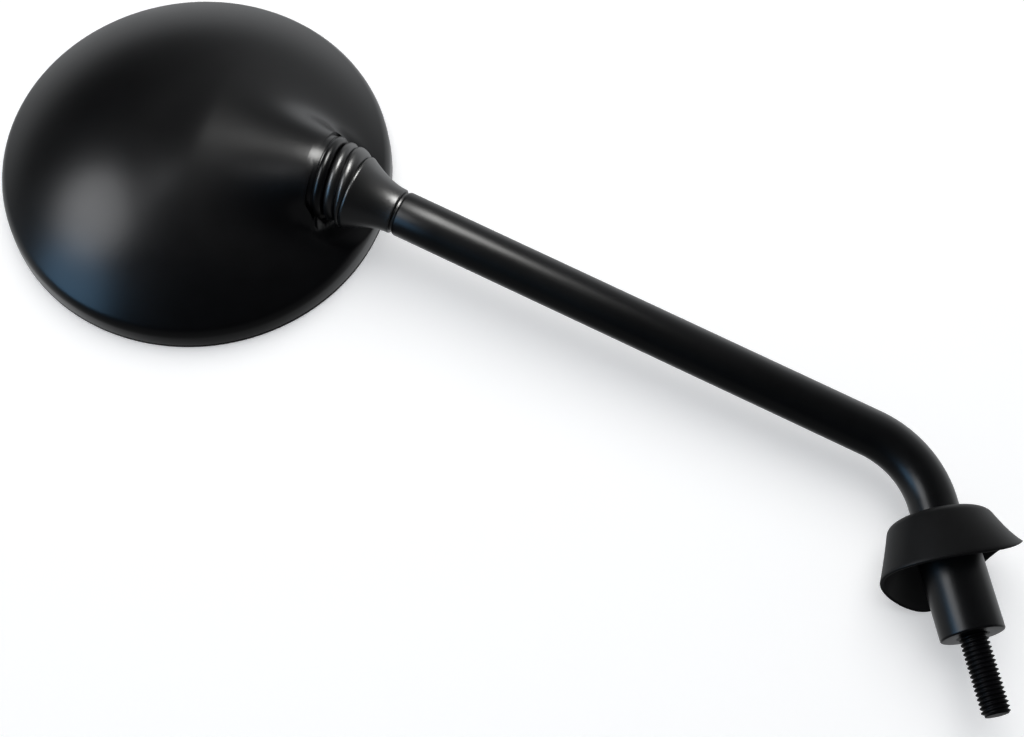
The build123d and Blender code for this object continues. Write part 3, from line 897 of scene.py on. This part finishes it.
class MIRROR_OT_mount_sleeve(bpy.types.Operator):
    """Model the turned sleeve under the boot"""

    bl_idname = "mirror.mount_sleeve"
    bl_label = "Mount Sleeve"

    def execute(self, context):
        sizes = context.scene.mirror_stem
        edge = sizes.sleeve_round
        out = sizes.sleeve_radius - edge
        socket = sizes.tube_radius + sizes.fit
        bore = sizes.root_radius + sizes.fit
        profile = arc_points((out, edge), edge, -QUARTER_TURN, 0, EDGE_STEPS)
        profile += arc_points((out, sizes.sleeve_length - edge), edge, 0, QUARTER_TURN, EDGE_STEPS)
        profile += [
            (socket, sizes.sleeve_length),
            (socket, sizes.stud_held),
            (bore, sizes.stud_held),
            (bore, 0.0),
        ]
        sleeve = turned("mount_sleeve_turned", profile, steps=128)
        dress(sleeve, black_finish(context, "satin_black_paint"), "stem", "black_metal", "mount_sleeve")
        return {"FINISHED"}


class MIRROR_OT_mount_stud(bpy.types.Operator):
    """Model the stud with a real thread"""

    bl_idname = "mirror.mount_stud"
    bl_label = "Mount Stud"

    def execute(self, context):
        sizes = context.scene.mirror_stem
        turns = round(sizes.stud_reach / sizes.pitch) + 2
        root = sizes.stud_radius - sizes.thread_depth
        crest = sizes.stud_radius
        pitch = sizes.pitch
        tooth = [
            (root, 0.0),
            (root, ROOT_FLAT * pitch),
            (crest, CREST_START * pitch),
            (crest, CREST_END * pitch),
            (root, pitch),
        ]
        start = -sizes.stud_reach - LEAD_IN * pitch
        stud = start_piece("mount_stud_threaded")
        draw_profile([(radius, start + height) for radius, height in tooth])
        bpy.ops.object.mode_set(mode="OBJECT")
        screw = stud.modifiers.new("Thread", "SCREW")
        screw.axis = "Z"
        screw.screw_offset = pitch
        screw.iterations = turns + 1
        screw.steps = THREAD_STEPS
        screw.render_steps = THREAD_STEPS
        screw.use_merge_vertices = True
        screw.merge_threshold = 0.001 * MM
        bpy.ops.object.modifier_apply(modifier=screw.name)
        bpy.ops.object.mode_set(mode="EDIT")
        for height, side in ((-sizes.stud_reach, -1.0), (LEAD_OUT * pitch, 1.0)):
            bpy.ops.mesh.select_all(action="SELECT")
            bpy.ops.mesh.bisect(
                plane_co=(0, 0, height), plane_no=(0, 0, side), use_fill=True, clear_outer=True
            )
        close_piece()
        self.chamfer(stud, sizes)
        base = [(0.0, 0.0), (sizes.root_radius, 0.0)]
        end = [(sizes.root_radius, sizes.stud_held), (0.0, sizes.stud_held)]
        join(stud, turned("stud_root", base + end, steps=80, closed=False))
        finish = black_finish(context, "black_zinc_thread")
        dress(stud, finish, "stem", "black_thread", "mount_stud", limit=30.0)
        return {"FINISHED"}

    def chamfer(self, stud, sizes):
        """Cuts the thread back to a cone at the stud's tip."""
        places = vertex_array(stud)
        radius = np.hypot(places[:, 0], places[:, 1])
        limit = sizes.stud_radius - sizes.stud_chamfer + places[:, 2] + sizes.stud_reach
        places[:, :2] *= np.minimum(1, limit / np.maximum(radius, HAIR))[:, None]
        places[:, 2] = np.maximum(places[:, 2], -sizes.stud_reach)
        set_vertices(stud, places)


# Boot on the leg

HOLE_GAP = 0.1 * MM
SIDE_POINTS = 16
WARP_EASE = 1.5
RIPPLE_DROP = 0.8


class MIRROR_OT_base_boot(bpy.types.Operator):
    """Model the rubber boot on the leg, with the wavy rim that soft rubber takes"""

    bl_idname = "mirror.base_boot"
    bl_label = "Base Boot"

    def execute(self, context):
        sizes = context.scene.mirror_boots
        hole = context.scene.mirror_stem.tube_radius + HOLE_GAP
        top = sizes.rim_height + sizes.height
        flare = sizes.rim_radius - sizes.shoulder_radius
        lean = math.atan2(flare, sizes.height)
        turn = sizes.shoulder_round
        setback = turn * math.tan((QUARTER_TURN - lean) / 2)
        shoulder = (sizes.shoulder_radius - setback, top - turn)
        profile = [(hole, top)]
        profile += arc_points(shoulder, turn, QUARTER_TURN, lean, 12)
        lip = sizes.rim_wall / 2
        profile += line_points(profile[-1], (sizes.rim_radius, sizes.rim_height + lip), SIDE_POINTS)
        rim = (sizes.rim_radius - lip, sizes.rim_height + lip)
        profile += arc_points(rim, lip, 0, -math.pi, 10)[1:]
        ceiling = top - sizes.wall
        inner = sizes.shoulder_radius - sizes.wall
        profile += line_points(profile[-1], (inner, ceiling), SIDE_POINTS)
        profile.append((hole, ceiling))
        boot = turned("base_boot_rubber", profile)
        self.warp(boot, sizes)
        dress(boot, black_finish(context, "boot_rubber"), "stem", "black_rubber", "base_boot", limit=50.0)
        return {"FINISHED"}

    def warp(self, boot, sizes):
        """Squashes the rim to a wavy oval and settles the top a little."""
        places = vertex_array(boot)
        x, y, z = places.T
        top = sizes.rim_height + sizes.height
        share = np.clip((top - z) / sizes.height, 0, 1) ** WARP_EASE
        turn = np.arctan2(y, x)
        rim = sizes.rim_lean_x * np.cos(turn) + sizes.rim_lean_y * np.sin(turn)
        rim += sizes.rim_wave * np.cos(2 * (turn - sizes.rim_wave_turn))
        rim -= sizes.rim_ripple * (np.sin(3 * turn) + RIPPLE_DROP)
        settle = sizes.top_lean * x / sizes.shoulder_radius - sizes.settle
        oval = sizes.rim_squash * np.cos(2 * turn) - 0.5 * sizes.rim_squash
        z += (1 - share) * settle + share * rim
        x *= 1 + share * oval / sizes.rim_radius
        y *= 1 + share * oval / sizes.rim_radius
        set_vertices(boot, places)


# Pieces inside the joint, which keep their solids


class MIRROR_OT_inner_works(bpy.types.Operator):
    """Finish the ball, liner, cap, washers, screws and pad"""

    bl_idname = "mirror.inner_works"
    bl_label = "Inner Works"

    def execute(self, context):
        colours = context.scene.mirror_finish
        plate = bright_metal("bright_zinc", colours.plate, 0.28, 0.4)
        finishes = {
            "ball_stud": bright_metal("ground_ball", colours.ball, 0.18, 0.3),
            "socket_liner": dull_solid("natural_nylon", colours.nylon, 0.45, 500.0, 0.01 * MM),
            "socket_cap": plate,
            "cap_washers": plate,
            "cap_screws": plate,
            "backing_pad": dull_solid("dark_felt", colours.felt, 0.95, 1500.0, 0.08 * MM),
        }
        for node, finish in finishes.items():
            slots = frame["nodes"][node].data.materials
            slots.clear()
            slots.append(finish)
        return {"FINISHED"}


# Stage

WHITE = (1, 1, 1, 1)
FLOOR_TINT = (0.97, 0.97, 0.98, 1)
ROOM_TINT = (0.96, 0.98, 1, 1)
SKY_TINT = (0.86, 0.92, 1, 1)
TABLE_FADE = (-0.6, 0.2)
HORIZON_FADE = (-0.1, 0.15)
GLOW_TIGHTNESS = 4.0


class MIRROR_OT_stage(bpy.types.Operator):
    """Set the floor, the surroundings, the lamps and the camera"""

    bl_idname = "mirror.stage"
    bl_label = "Stage"

    def execute(self, context):
        stage = context.scene.mirror_stage
        rest = head_frame(context.scene.mirror_head)
        self.floor(stage, rest)
        self.surroundings(context, stage, rest)
        self.lamps(stage, rest)
        self.camera(context, stage)
        context.scene.view_settings.view_transform = "Standard"
        return {"FINISHED"}

    def floor(self, stage, rest):
        """A pale floor that the rim lies on, see-through from below."""
        bpy.ops.object.select_all(action="DESELECT")
        bpy.ops.mesh.primitive_plane_add(size=stage.floor_size)
        floor = bpy.context.object
        floor.name = "pale_floor"
        place(floor, rest @ Matrix.Translation((0, 0, -stage.floor_gap)))
        material, tree, shader, coordinates = new_material("pale_floor")
        shader.inputs["Base Color"].default_value = FLOOR_TINT
        shader.inputs["Emission Color"].default_value = WHITE
        shader.inputs["Emission Strength"].default_value = stage.floor_lift
        shader.inputs["Roughness"].default_value = 1.0
        shader.inputs["Specular IOR Level"].default_value = 0.0
        behind = add_node(tree, "NewGeometry").outputs["Backfacing"]
        distance = add_node(tree, "VectorMath", {0: coordinates}, operation="LENGTH").outputs["Value"]
        far = ramp(tree, distance, stage.floor_near, stage.floor_far, 0.0, 1.0)
        ground = self.mix(tree, far, shader, add_node(tree, "Emission"))
        surface = self.mix(tree, behind, ground, add_node(tree, "BsdfTransparent")).outputs[0]
        tree.links.new(surface, tree.nodes["Material Output"].inputs["Surface"])
        floor.data.materials.append(material)
        floor.visible_glossy = False
        floor.visible_diffuse = False

    def directions(self, stage, rest):
        """Up from the floor, away from the camera along it, and to the right."""
        turn = Euler(stage.camera_turn).to_matrix()
        face = rest.to_3x3().col[2]
        away = (turn.col[1] - face * turn.col[1].dot(face)).normalized()
        return face, away, away.cross(face)

    def surroundings(self, context, stage, rest):
        """White to the eye, a table and a far wall in reflections, and dimmer as a light."""
        world = bpy.data.worlds.new("studio")
        context.scene.world = world
        world.use_nodes = True
        tree = world.node_tree
        tree.nodes.clear()
        output = add_node(tree, "OutputWorld")
        rays = add_node(tree, "LightPath").outputs
        direction = add_node(tree, "TexCoord").outputs["Generated"]
        face, away, right = self.directions(stage, rest)
        wall = (face * 0.15 + away * 0.77 + right * 0.62).normalized()
        outward = self.dot(tree, direction, away)
        table = ramp(tree, outward, *TABLE_FADE, stage.near_table, stage.far_table)
        below = ramp(tree, self.dot(tree, direction, face), *HORIZON_FADE, 1.0, 0.0)
        towards = self.maths(tree, "MAXIMUM", self.dot(tree, direction, wall), 0.0)
        tight = self.maths(tree, "POWER", towards, GLOW_TIGHTNESS)
        glow = self.maths(tree, "MULTIPLY", tight, stage.far_glow)
        room = self.maths(tree, "ADD", glow, stage.ceiling)
        strength = self.maths(tree, "MULTIPLY_ADD", table, below, room)
        white = self.background(tree, WHITE, 1.0)
        mirrored = self.background(tree, ROOM_TINT, strength)
        light = self.background(tree, SKY_TINT, stage.ambient)
        seen = self.maths(tree, "MAXIMUM", rays["Is Camera Ray"], rays["Is Transmission Ray"])
        glossy = self.mix(tree, rays["Is Glossy Ray"], light, mirrored)
        tree.links.new(self.mix(tree, seen, glossy, white).outputs[0], output.inputs["Surface"])

    def dot(self, tree, vector, axis):
        """How far a direction goes along an axis."""
        return add_node(tree, "VectorMath", {0: vector, 1: axis}, operation="DOT_PRODUCT").outputs["Value"]

    def maths(self, tree, operation, *values):
        """A sum on sockets and plain numbers."""
        return add_node(tree, "Math", dict(enumerate(values)), operation=operation).outputs[0]

    def background(self, tree, tint, strength):
        """One background of the world."""
        return add_node(tree, "Background", {"Color": tint, "Strength": strength})

    def mix(self, tree, share, first, second):
        """Mix of two shaders by a share."""
        return add_node(tree, "MixShader", {"Fac": share, 1: first.outputs[0], 2: second.outputs[0]})

    def lamps(self, stage, rest):
        """A soft key on the far side for the shadows, a fill, and three lamps for the sheen."""
        face, away, right = self.directions(stage, rest)
        aim = (rest.translation + BALL_CENTRE) / 2
        spot = face * 0.9 + away * 0.37 + right * 0.06
        window = face * 0.66 - away * 0.06 - right * 0.74
        sky = face * 0.35 - away * 0.4 - right * 0.85
        for name, direction, distance, size, power, tint in (
            ("key_lamp", face * 0.9 + away * 0.4, 1.1, 1.3, stage.key_power, (1.0, 0.985, 0.95)),
            ("fill_lamp", face, 1.5, 1.0, stage.fill_power, (0.96, 0.98, 1.0)),
            ("spot_sheen", spot, 0.22, 0.13, stage.spot_power, (1.0, 1.0, 0.98)),
            ("window_sheen", window, 0.9, 0.5, stage.window_power, (0.97, 0.98, 1.0)),
            ("sky_sheen", sky, 0.9, 0.5, stage.sky_power, (0.3, 0.62, 1.0)),
        ):
            bpy.ops.object.light_add(type="AREA")
            lamp = bpy.context.object
            lamp.name = name
            lamp.data.shape = "DISK"
            lamp.data.size = size
            lamp.data.energy = power
            lamp.data.color = tint
            centre = aim
            if name == "spot_sheen":
                centre = BALL_CENTRE
                lamp.data.spread = stage.spot_spread
            lamp.location = centre + direction.normalized() * distance
            lamp.rotation_euler = direction.to_track_quat("Z", "Y").to_euler()
            lamp.visible_camera = False
            lamp.data.use_shadow = name != "fill_lamp"
            lamp.visible_glossy = name.endswith("sheen")
            lamp.visible_diffuse = name.endswith("lamp")

    def camera(self, context, stage):
        """The photograph's viewpoint."""
        bpy.ops.object.camera_add(location=stage.camera_place, rotation=stage.camera_turn)
        camera = bpy.context.object
        camera.name = "photo_camera"
        camera.data.lens = stage.lens
        camera.data.sensor_width = 36.0
        camera.data.clip_start = 0.01
        camera.data.clip_end = 20.0
        context.scene.camera = camera


OPERATORS = (
    MIRROR_OT_head_shell,
    MIRROR_OT_mirror_glass,
    MIRROR_OT_glass_gasket,
    MIRROR_OT_dust_boot,
    MIRROR_OT_stem_tube,
    MIRROR_OT_mount_sleeve,
    MIRROR_OT_mount_stud,
    MIRROR_OT_base_boot,
    MIRROR_OT_inner_works,
    MIRROR_OT_stage,
)


class MIRROR_PT_sidebar(bpy.types.Panel):
    """Lists the mirror's pieces in the sidebar"""

    bl_label = "Mirror"
    bl_idname = "MIRROR_PT_sidebar"
    bl_space_type = "VIEW_3D"
    bl_region_type = "UI"
    bl_category = "Mirror"

    def draw(self, context):
        column = self.layout.column()
        for operator in OPERATORS:
            column.operator(operator.bl_idname)
        for group in SETTINGS:
            box = self.layout.box()
            for name in SETTINGS[group].__annotations__:
                box.prop(getattr(context.scene, group), name)


SETTINGS = {
    "mirror_head": MirrorHeadSizes,
    "mirror_glass": MirrorGlassSizes,
    "mirror_stem": MirrorStemSizes,
    "mirror_boots": MirrorBootSizes,
    "mirror_finish": MirrorFinishes,
    "mirror_stage": MirrorStageSettings,
}


def register():
    for group, settings in SETTINGS.items():
        bpy.utils.register_class(settings)
        setattr(bpy.types.Scene, group, PointerProperty(type=settings))
    for operator in OPERATORS:
        bpy.utils.register_class(operator)
    bpy.utils.register_class(MIRROR_PT_sidebar)


def unregister():
    bpy.utils.unregister_class(MIRROR_PT_sidebar)
    for operator in reversed(OPERATORS):
        bpy.utils.unregister_class(operator)
    for group, settings in reversed(SETTINGS.items()):
        delattr(bpy.types.Scene, group)
        bpy.utils.unregister_class(settings)


def main():
    register()
    for operator in OPERATORS:
        group, name = operator.bl_idname.split(".")
        getattr(getattr(bpy.ops, group), name)()


if __name__ == "__main__":
    main()
